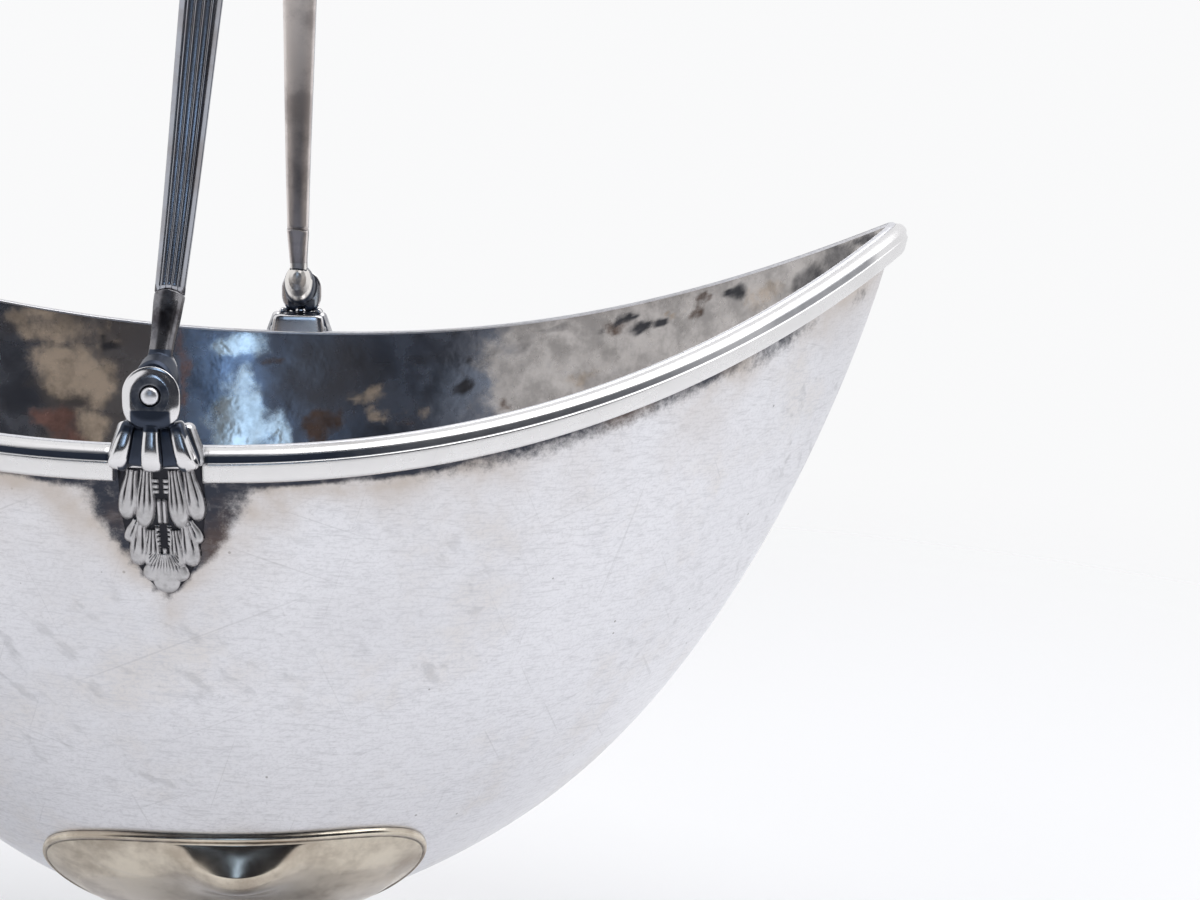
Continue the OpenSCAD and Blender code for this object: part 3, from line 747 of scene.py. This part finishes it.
# %% Outline of the calyx
HUB_G, WAIST_G, EDGE_G, CALYX_T, HUB_Z = 0.23, 0.30, 0.687, 0.9, KEEL_Z - 2.2
LOBE_S, CORNER, TWIST, HUB_BEND = 0.56, 4.5, math.radians(4.6), 0.42
N_LOBE, N_WAIST = 72, 34
ALONG, ACROSS = 54, 47  # rough millimetres for one unit along the lobe's edge and down its side
lobe_bend = np.linspace(0, math.pi / 2, 4000)
lobe_s = LOBE_S * np.sin(lobe_bend) ** (2 / CORNER)
lobe_g = WAIST_G + (EDGE_G - WAIST_G) * np.cos(lobe_bend) ** (2 / CORNER)
run = np.concatenate([[0], np.cumsum(np.hypot(np.diff(lobe_s * ALONG), np.diff(lobe_g * ACROSS)))])
count = np.arange(len(run))
even = np.interp(np.linspace(0, run[-1], N_LOBE), run, count)
quarter_turn = np.concatenate([np.arcsin(np.interp(even, count, lobe_s)),
                               np.linspace(math.asin(LOBE_S), math.pi / 2, N_WAIST)[1:]])
quarter_g = np.concatenate([np.interp(even, count, lobe_g), np.full(N_WAIST - 1, WAIST_G)])
quarter_hub = np.concatenate([np.linspace(0, HUB_BEND, N_LOBE),
                              np.linspace(HUB_BEND, math.pi / 2, N_WAIST)[1:]])


def whole_ring(quarter, mirror):
    half = np.concatenate([quarter, (math.pi - quarter if mirror else quarter)[-2::-1]])
    return np.concatenate([half[:-1], (half + math.pi if mirror else half)[:-1]])


edge_turn, hub_turn = whole_ring(quarter_turn, True), whole_ring(quarter_hub, True)
edge_g = whole_ring(quarter_g, False)
print("outline of", len(edge_turn), "points")

# %% Belly of the calyx
PLAIN = 0.97  # share of the way to the edge where the bead begins
BELLY_TALL, BELLY_AT, BELLY_HALF, BELLY_POWER, BROW_POWER = 3.36, 0.022, 0.369, 2.55, 1.133
off_lobe = (edge_turn + math.pi / 2) % math.pi - math.pi / 2
sideways = np.clip(np.abs(off_lobe - BELLY_AT) / BELLY_HALF, 0, 1)
bell = (0.5 + 0.5 * np.cos(math.pi * sideways)) ** BELLY_POWER


def belly(f):
    x = max(PLAIN - f, 0) / 0.053
    brow = (1 - max(1 - x, 0) ** BROW_POWER) ** (1 / BROW_POWER)
    return BELLY_TALL * bell * brow * (1 - ease(1.44, 5.8, x))


print("the belly swells by up to", round(max(belly(f).max() for f in np.linspace(0, 1, 50)), 2), "mm")

# %% Calyx
BEAD = [  # share of the way to the edge, distance out
    (0.977, 0.62), (0.981, 0.63), (0.985, 0.70), (0.988, 0.73), (0.991, 0.72), (0.995, 0.6),
    (0.9975, 0.4), (0.999, 0.05)]
body = PLAIN * (1 - (1 - np.linspace(0, 1, 72)) ** 1.7)
steps = [(f, CALYX_T - 0.26 * ease(0.8, PLAIN, f)) for f in body] + BEAD
rows = [skin(hub_turn + (edge_turn - hub_turn) * f - math.pi / 2 + TWIST,
             dip_at_narrow(HUB_G + (edge_g - HUB_G) * f), t + belly(f)) for f, t in steps]
hub = bare_skin(hub_turn - math.pi / 2 + TWIST, dip_at_narrow(HUB_G) + 0 * hub_turn) * (0.95, 0.95, 0)
hub[:, 2] = HUB_Z
cove = [hub + (rows[0] - hub) * (1 - math.cos(a), 1 - math.cos(a), math.sin(a))
        for a in np.linspace(0, 1.4, 6)]
calyx_mesh = grid_mesh("calyx", np.stack(cove + rows))
# A dark line just inside the bead: painted shade where the calyx meets the bowl.
line = np.array([0.0] * len(cove) + [0.6 * (0.975 < f < 0.982) for f, _ in steps])
mark(calyx_mesh, "film_and_shade", np.broadcast_to(line[:, None], (len(line), len(edge_turn))))
calyx = new_piece("calyx", calyx_mesh, "basket", "foot_calyx")

# %% Pedestal and foot ring
FOOT_L, FOOT_W, NECK_R, SEAT_Z, N_FOOT = 74.0, 54.0, 13.0, 2.6, 220
SPREAD = FOOT_L / 2 - 2.4


def turned(name, profile, node):
    angle = np.linspace(0, 2 * math.pi, N_FOOT, endpoint=False)
    p = np.array(profile)
    grid = np.stack([p[:, None, 0] * np.cos(angle), p[:, None, 0] * np.sin(angle) * FOOT_W / FOOT_L,
                     np.broadcast_to(p[:, None, 1], (len(p), len(angle)))], -1)
    return new_piece(name, grid_mesh(name, grid, round_rows=True), "basket", node)


f = np.linspace(0, 1, 40)
flank = np.stack([NECK_R + (SPREAD - NECK_R) * (1 - f) ** 2.3, 3.5 + (HUB_Z - 3.5) * f], -1)
under = np.stack([flank[:, 0] - 0.4 - 0.5 * f, flank[:, 1] - 0.9 * (1 - f)], -1)[:-4]
under = under[under[:, 0] < SPREAD - 2.6]
spool = [(SPREAD - 2.6, SEAT_Z), (SPREAD + 0.5, SEAT_Z), (SPREAD + 0.6, SEAT_Z + 0.3), *flank,
         (0.05, HUB_Z), (0.05, HUB_Z - 1.4), *under[::-1]]
pedestal = turned("pedestal", spool, "foot_pedestal")


def reed_arc(z0, z1, out):
    r = (z1 - z0) / 2
    return [(out - r * (1 - math.cos(a)), z0 + r + r * math.sin(a)) for a in np.linspace(-1.57, 1.57, 13)]


ring_profile = [(SPREAD - 2.2, 0), *reed_arc(0, 1.43, FOOT_L / 2),
                *reed_arc(1.48, SEAT_Z, FOOT_L / 2 - 0.6), (SPREAD - 2.2, SEAT_Z)]
foot_ring = turned("foot_ring", ring_profile, "foot_rim")

# %% [markdown]
# ## Finishes
# All the metal is one alloy, so every finish starts from the same silver: fully metallic, nearly
# white. What differs is wear. A small helper adds shader nodes and wires their sockets, so that
# each finish reads as a recipe: cloud for stains, hairlines for scratches, specks for pits, and a
# weight from the points for tarnish.

# %% Helpers for finishes
class Finish:
    def __init__(self, name):
        self.material = bpy.data.materials.new(name)
        self.material.use_nodes = True
        self.tree = self.material.node_tree
        self.shader = self.tree.nodes["Principled BSDF"]
        self.shader.inputs["Metallic"].default_value = 1
        self.place = self.add("TexCoord").outputs["Object"]

    def add(self, kind, settings=None, **sockets):
        node = self.tree.nodes.new("ShaderNode" + kind)
        for name, value in (settings or {}).items():
            setattr(node, name, value)
        for name, value in sockets.items():
            key = int(name[1:]) if name[1:].isdigit() else name.replace("_", " ")
            self.wire(value, node.inputs[key])
        return node

    def wire(self, value, socket):
        if isinstance(value, bpy.types.NodeSocket):
            self.tree.links.new(value, socket)
        else:
            socket.default_value = value

    def math(self, operation, a, b=0.0):
        settings = {"operation": operation, "use_clamp": operation == "ADD"}
        return self.add("Math", settings, i0=a, i1=b).outputs[0]

    def cloud(self, per_metre, detail=4.0, stretch=(1, 1, 1), spin=(0, 0, 0), rough=0.55):
        turned_first = {"vector_type": "TEXTURE"}
        laid = self.add("Mapping", turned_first, Vector=self.place, Scale=stretch, Rotation=spin)
        noise = self.add("TexNoise", Vector=laid.outputs[0], Scale=per_metre, Detail=detail,
                         Roughness=rough)
        return noise.outputs["Fac"]

    def span(self, value, low, high, to_low=0.0, to_high=1.0):
        eased = self.add("MapRange", {"interpolation_type": "SMOOTHSTEP"}, Value=value, From_Min=low,
                         From_Max=high, To_Min=to_low, To_Max=to_high)
        return eased.outputs[0]

    def blend(self, weight, first, second):
        node = self.add("Mix", {"data_type": "RGBA"})
        self.wire(weight, node.inputs[0])
        self.wire(first, node.inputs[6])
        self.wire(second, node.inputs[7])
        return node.outputs[2]

    def weight(self, name):
        return self.add("Attribute", {"attribute_name": name}).outputs["Fac"]

    def hairlines(self, seed):
        total = 0.0
        for slant in (0.35, 1.2, 1.9, 2.75):
            lines = self.cloud(110, 3, (7, 1.2, 0.05), (0.1, slant + seed, 0.2), 0.45)
            total = self.math("ADD", self.span(lines, 0.69, 0.74), total)
        return total

    def specks(self, per_metre, radius, share):
        cells = self.add("TexVoronoi", Vector=self.place, Scale=per_metre)
        kept = self.span(self.add("SeparateColor", Color=cells.outputs["Color"]).outputs[0], 1 - share, 1.0)
        size = self.math("MULTIPLY", kept, radius)
        near = self.math("SUBTRACT", size, cells.outputs["Distance"])
        return self.span(near, 0.0, 0.4 * radius)

    def done(self, colour, roughness, bump=None, strength=0.1, distance=0.0002):
        self.wire(colour, self.shader.inputs["Base Color"])
        self.wire(roughness, self.shader.inputs["Roughness"])
        if bump is not None:
            relief = self.add("Bump", Height=bump, Strength=strength, Distance=distance)
            self.wire(relief.outputs[0], self.shader.inputs["Normal"])
        print("finish:", self.material.name, len(self.tree.nodes), "nodes")
        return self.material

# %% [markdown]
# ## Satin silver
# The outside of the bowl has been handled and wiped for two hundred years. Its shine is broken by
# hairlines in every direction, warm stains and tiny pits, and black tarnish clings under the rim
# and round the leaves; just under the rim that dark and the beige are partly painted shade. One grey
# with a fixed roughness would look like paint, so each mark of wear is a layer of noise at its own size.

# %% Satin finish
LAVENDER, STAIN, ASHEN = (0.82, 0.82, 0.855, 1), (0.72, 0.67, 0.62, 1), (0.62, 0.62, 0.65, 1)
BLACK, RUST, BEIGE = (0.05, 0.055, 0.072, 1), (0.14, 0.10, 0.085, 1), (0.58, 0.515, 0.465, 1)
SCRATCH, SMUDGE, PIT = (0.42, 0.42, 0.44, 1), (0.40, 0.40, 0.42, 1), (0.22, 0.21, 0.21, 1)
CRUST, SCRAPE, DUST = (0.20, 0.19, 0.20, 1), (0.5, 0.5, 0.52, 1), (0.12, 0.11, 0.11, 1)


def tarnish_and_shade(s, colour, rough):
    # Beige from the warm weight and black from the tarnish weight; under the rim both are partly painted
    # shade.
    film = s.math("MULTIPLY", s.weight("warm"), s.span(s.cloud(120, 6), 0.3, 0.65, 0.25, 0.95))
    colour = s.blend(film, colour, BEIGE)
    grain = s.math("MULTIPLY", s.math("SUBTRACT", s.cloud(600, 9, rough=0.8), 0.5), 1.6)
    dark = s.span(s.math("ADD", s.weight("tarnish_and_shade"), grain), 0.12, 1.0)
    film = s.blend(s.span(s.cloud(110, 5), 0.5, 0.7, 0, 0.7), BLACK, RUST)
    crusts = s.cloud(600, 8, (2, 2, 0.7), rough=0.7)
    film = s.blend(s.span(crusts, 0.46, 0.72, 0, 0.5), film, CRUST)
    return s.blend(dark, colour, film), s.math("ADD", rough, s.math("MULTIPLY", dark, 0.1))


def satin_silver(name, tarnished=False, rougher=0.0):
    s = Finish(name)
    brushed = s.cloud(3200, 4, (7, 7, 0.9), (0, 0.06, 0), 0.7)
    crossed = s.cloud(2800, 4, (6, 6, 0.8), (0, -0.5, 0), 0.65)
    frost = s.cloud(2400, 5, rough=0.7)
    hairs = s.hairlines(0.0)
    colour = s.blend(s.span(s.cloud(28, 5), 0.42, 0.72, 0, 0.35), LAVENDER, ASHEN)
    colour = s.blend(s.span(s.cloud(60, 7, rough=0.65), 0.5, 0.72, 0, 0.45), colour, STAIN)
    colour = s.blend(s.span(brushed, 0.47, 0.70, 0, 0.75), colour, ASHEN)
    colour = s.blend(s.span(crossed, 0.52, 0.73, 0, 0.5), colour, ASHEN)
    colour = s.blend(s.span(frost, 0.44, 0.72, 0, 0.6), colour, ASHEN)
    colour = s.blend(s.math("MULTIPLY", hairs, 0.24), colour, SCRATCH)
    rubs = s.span(s.cloud(500, 4, (2.4, 1, 1), (0, 0.7, 0)), 0.55, 0.7)
    smudged = s.math("MULTIPLY", rubs, s.span(s.cloud(30, 2), 0.46, 0.6))
    colour = s.blend(s.math("MULTIPLY", smudged, 0.34), colour, SMUDGE)
    colour = s.blend(s.math("MULTIPLY", s.specks(420, 0.09, 0.3), 0.7), colour, PIT)
    rough = s.span(s.cloud(120, 3), 0.3, 0.75, 0.29 + rougher, 0.35 + rougher)
    if tarnished:
        colour, rough = tarnish_and_shade(s, colour, rough)
    dents = s.math("ADD", s.math("MULTIPLY", s.cloud(90, 3), 0.6), s.math("MULTIPLY", brushed, 0.008))
    return s.done(colour, rough, s.math("SUBTRACT", dents, s.math("MULTIPLY", hairs, 0.08)), 0.15, 0.0004)


satin_bowl = satin_silver("satin_bowl", True)
satin_rivet = satin_silver("satin_rivet")
satin_foot = satin_silver("satin_foot", rougher=0.3)

# %% [markdown]
# ## The tarnished inside
# Inside, the colours laid on the points show through. Noise at two sizes breaks their edges into
# the specks and crusts that sulphide makes, and rougher patches go with the darker ones.

# %% Tarnished finish
t = Finish("tarnished_inside")
laid = t.add("Attribute", {"attribute_name": "patina"})
grime = t.span(t.cloud(420, 7, rough=0.65), 0.48, 0.75, 0, 0.4)
inside_colour = t.blend(grime, laid.outputs["Color"], DUST)
inside_metal = laid.outputs["Alpha"]
inside_rough = t.span(t.cloud(200, 5), 0.3, 0.7, 0.17, 0.32)
torn = t.math("MULTIPLY", t.math("SUBTRACT", t.cloud(360, 9, rough=0.68), 0.5), 1.4)
faded = t.span(t.cloud(230, 8, rough=0.68), 0.36, 0.66, 0, 0.9)
for stain, (shade, _) in STAINS.items():
    tear = t.math("MULTIPLY", torn, 0.55 if stain == "soot" else 1.0)
    here = t.span(t.math("ADD", t.weight(stain), tear), 0.2, 0.95)
    shades = t.blend(faded, shade[:3] + (1,), tuple(0.55 * c for c in shade[:3]) + (1,))
    inside_colour = t.blend(here, inside_colour, shades)
    gain = t.math("MULTIPLY", here, t.math("SUBTRACT", shade[3], inside_metal))
    inside_metal = t.math("ADD", inside_metal, gain)
    # The painted window reflection is also made smoother.
    if stain == "sky":
        inside_rough = t.math("SUBTRACT", inside_rough, t.math("MULTIPLY", here, 0.1))
t.wire(inside_metal, t.shader.inputs["Metallic"])
tarnished_inside = t.done(inside_colour, inside_rough, t.cloud(110, 4), 0.25, 0.0006)

# %% [markdown]
# ## Bright silver
# The rim, the castings and the handle stand proud and get the cloth each time, so they are
# polished. Their hollows keep a blue-black film, partly tarnish and partly painted shade. The outer
# faces of the handle and of its ends get dark grey copies of the silver, a painted dark reflection,
# and their inner faces light ones. On the leaf the high lobes are rubbed to satin and the deep cuts
# stay black. One recipe serves them all, and only its colours, its shine and the size of its
# blotches change.

# %% Bright finishes
FILM = (0.05, 0.06, 0.085, 1)


def bright_silver(name, base, shine, weight=None, film=FILM, torn=0.35, mottle=0.0, blotch=RUST, patch=150):
    b = Finish(name)
    haze = b.span(b.cloud(180, 5), 0.45, 0.8, 0, 0.35)
    colour = b.blend(haze, base, tuple(c * 0.82 for c in base[:3]) + (1,))
    colour = b.blend(b.math("MULTIPLY", b.hairlines(0.7), 0.15), colour, SCRAPE)
    rough = b.span(b.cloud(300, 4), 0.3, 0.75, shine, shine + 0.08)
    if mottle:
        colour = b.blend(b.span(b.cloud(patch, 7, rough=0.66), 0.42, 0.66, 0, mottle), colour, blotch)
    if weight:
        grain = b.math("MULTIPLY", b.math("SUBTRACT", b.cloud(700, 4), 0.5), torn)
        dark = b.span(b.math("ADD", b.weight(weight), grain), 0.3, 0.75)
        colour = b.blend(dark, colour, film)
        rough = b.math("ADD", rough, b.math("MULTIPLY", dark, 0.2))
    return b.done(colour, rough, b.cloud(400, 3), 0.04, 0.0001)


rim_silver = bright_silver("rim_silver", (0.81, 0.80, 0.80, 1), 0.24, "film_and_shade", torn=0.06)
cast_silver = bright_silver("cast_silver", (0.80, 0.79, 0.80, 1), 0.12, "film_and_shade")
bulb_silver = bright_silver("bulb_silver", (0.86, 0.83, 0.79, 1), 0.3, "film_and_shade")
# A dark grey copy of the silver for the reeded face of the handle: a painted dark reflection.
shaded_handle_silver = bright_silver("shaded_handle_silver", (0.42, 0.435, 0.48, 1), 0.17, "film_and_shade", mottle=0.5,
                              blotch=(0.24, 0.20, 0.18, 1))
inner_silver = bright_silver("inner_silver", (0.82, 0.76, 0.73, 1), 0.34, mottle=0.5,
                             blotch=(0.22, 0.19, 0.19, 1), patch=110)
# A dark grey copy of the silver, a painted dark reflection for the outer faces of the handle ends, with
# near-black blotches.
shaded_end_silver = bright_silver("shaded_end_silver", (0.31, 0.30, 0.31, 1), 0.16, "film_and_shade", mottle=0.9,
                           blotch=(0.05, 0.04, 0.04, 1), patch=420)
leaf_silver = bright_silver("leaf_silver", (0.58, 0.57, 0.58, 1), 0.30, "deep", (0.04, 0.04, 0.048, 1),
                            mottle=0.4, blotch=(0.24, 0.23, 0.23, 1), patch=800)
calyx_silver = bright_silver("calyx_silver", (0.76, 0.69, 0.58, 1), 0.15, "film_and_shade", (0.10, 0.09, 0.08, 1),
                             mottle=0.8, blotch=(0.36, 0.30, 0.24, 1), patch=85)

# %% Put the finishes on
def dress(pieces, *materials):
    for piece in pieces:
        for material in materials:
            piece.data.materials.append(material)


dress([bowl], satin_bowl, tarnished_inside)
dress(rims, rim_silver)
dress(mounts + [foot_ring], cast_silver)
dress(rivets, satin_rivet)
dress(leaves, leaf_silver)
dress([handle], shaded_handle_silver, inner_silver)
dress(ends, shaded_end_silver, bulb_silver, inner_silver)
dress([calyx], calyx_silver)
dress([pedestal], satin_foot)

# %% [markdown]
# ## The studio
# Silver shows only what stands round it. A white room gives it its brightness, and a dark zone
# behind the camera gives the polished pieces their black. Both are painted into the world as soft
# zones by direction: the camera itself sees plain white. Panels round the object would do the same,
# but they would have to be kept out of every other view. The floor is a pale sheet that fades out,
# so that it keeps the shadow and has no edge; close round the foot it glows, a painted light that
# lifts the shadow under the bowl.

# %% World
world = bpy.data.worlds.new("studio")
scene.world = world
world.use_nodes = True
sky = world.node_tree
background = sky.nodes["Background"]


class Studio(Finish):
    def __init__(self, tree):
        self.tree = tree
        self.place = self.add("TexCoord").outputs["Generated"]
        aim = self.add("SeparateXYZ", Vector=self.place).outputs
        self.height = aim["Z"]
        self.bearing = self.math("ARCTAN2", aim["X"], self.math("MULTIPLY", aim["Y"], -1))

    def pane(self, bearings, heights, soft_b, soft_h):
        weight = 1.0
        for value, (low, high), soft in ((self.bearing, bearings, soft_b), (self.height, heights, soft_h)):
            rising = self.span(value, low - soft, low + soft)
            falling = self.span(value, high - soft, high + soft, 1, 0)
            weight = self.math("MULTIPLY", self.math("MULTIPLY", rising, falling), weight)
        return weight


studio = Studio(sky)
WHITE, DUSK, SKYLIGHT = (0.90, 0.905, 0.92, 1), (0.035, 0.037, 0.045, 1), (0.88, 1.22, 1.70, 1)
BACKDROP = (0.95, 0.952, 0.958, 1)
light = studio.blend(studio.pane((-0.62, 1.05), (-0.165, 0.94), 0.1, 0.012), WHITE, DUSK)
light = studio.blend(studio.pane((-0.165, -0.055), (0.06, 0.52), 0.02, 0.02), light, SKYLIGHT)
path = studio.add("LightPath")
seen = studio.blend(path.outputs["Is Camera Ray"], light, BACKDROP)
studio.wire(seen, background.inputs["Color"])
background.inputs["Strength"].default_value = 1
print("world:", len(sky.nodes), "nodes")

# %% Floor
floor_mesh = bpy.data.meshes.new("floor")
CORNERS = ((-2, -2), (2, -2), (2, 2), (-2, 2))
floor_mesh.from_pydata([(x, y, -0.0002) for x, y in CORNERS], [], [(0, 1, 2, 3)])
floor = bpy.data.objects.new("floor", floor_mesh)
scene.collection.objects.link(floor)
paper = Finish("paper")
paper.shader.inputs["Metallic"].default_value = 0
paper.shader.inputs["Base Color"].default_value = (0.9, 0.9, 0.91, 1)
paper.shader.inputs["Emission Color"].default_value = (0.98, 0.98, 1, 1)
paper.shader.inputs["Roughness"].default_value = 0.8
distance = paper.add("VectorMath", {"operation": "LENGTH"}, i0=paper.place).outputs["Value"]
# The floor glows close round the foot: painted light that lifts the shadow under the bowl and brightens
# what its underside reflects.
near, far = paper.span(distance, 0.03, 0.07, 0.12, 0), paper.span(distance, 0.05, 0.2, 0, 0.02)
paper.wire(paper.math("MAXIMUM", near, far), paper.shader.inputs["Emission Strength"])
paper.wire(paper.span(distance, 0.16, 0.45, 1, 0), paper.shader.inputs["Alpha"])
dress([floor], paper.material)
print("floor:", len(paper.tree.nodes), "nodes")

# %% Lamp
lamp_data = bpy.data.lights.new("softbox", "AREA")
lamp_data.shape, lamp_data.size, lamp_data.size_y = "RECTANGLE", 0.7, 0.7
lamp_data.energy = 3
lamp = bpy.data.objects.new("softbox", lamp_data)
lamp.location = (0.25, -0.1, 0.75)
lamp.rotation_euler = (Vector((0, 0, 0.08)) - lamp.location).to_track_quat("-Z", "Y").to_euler()
scene.collection.objects.link(lamp)
print("lamp of", lamp_data.energy, "W at", [round(c, 2) for c in lamp.location])
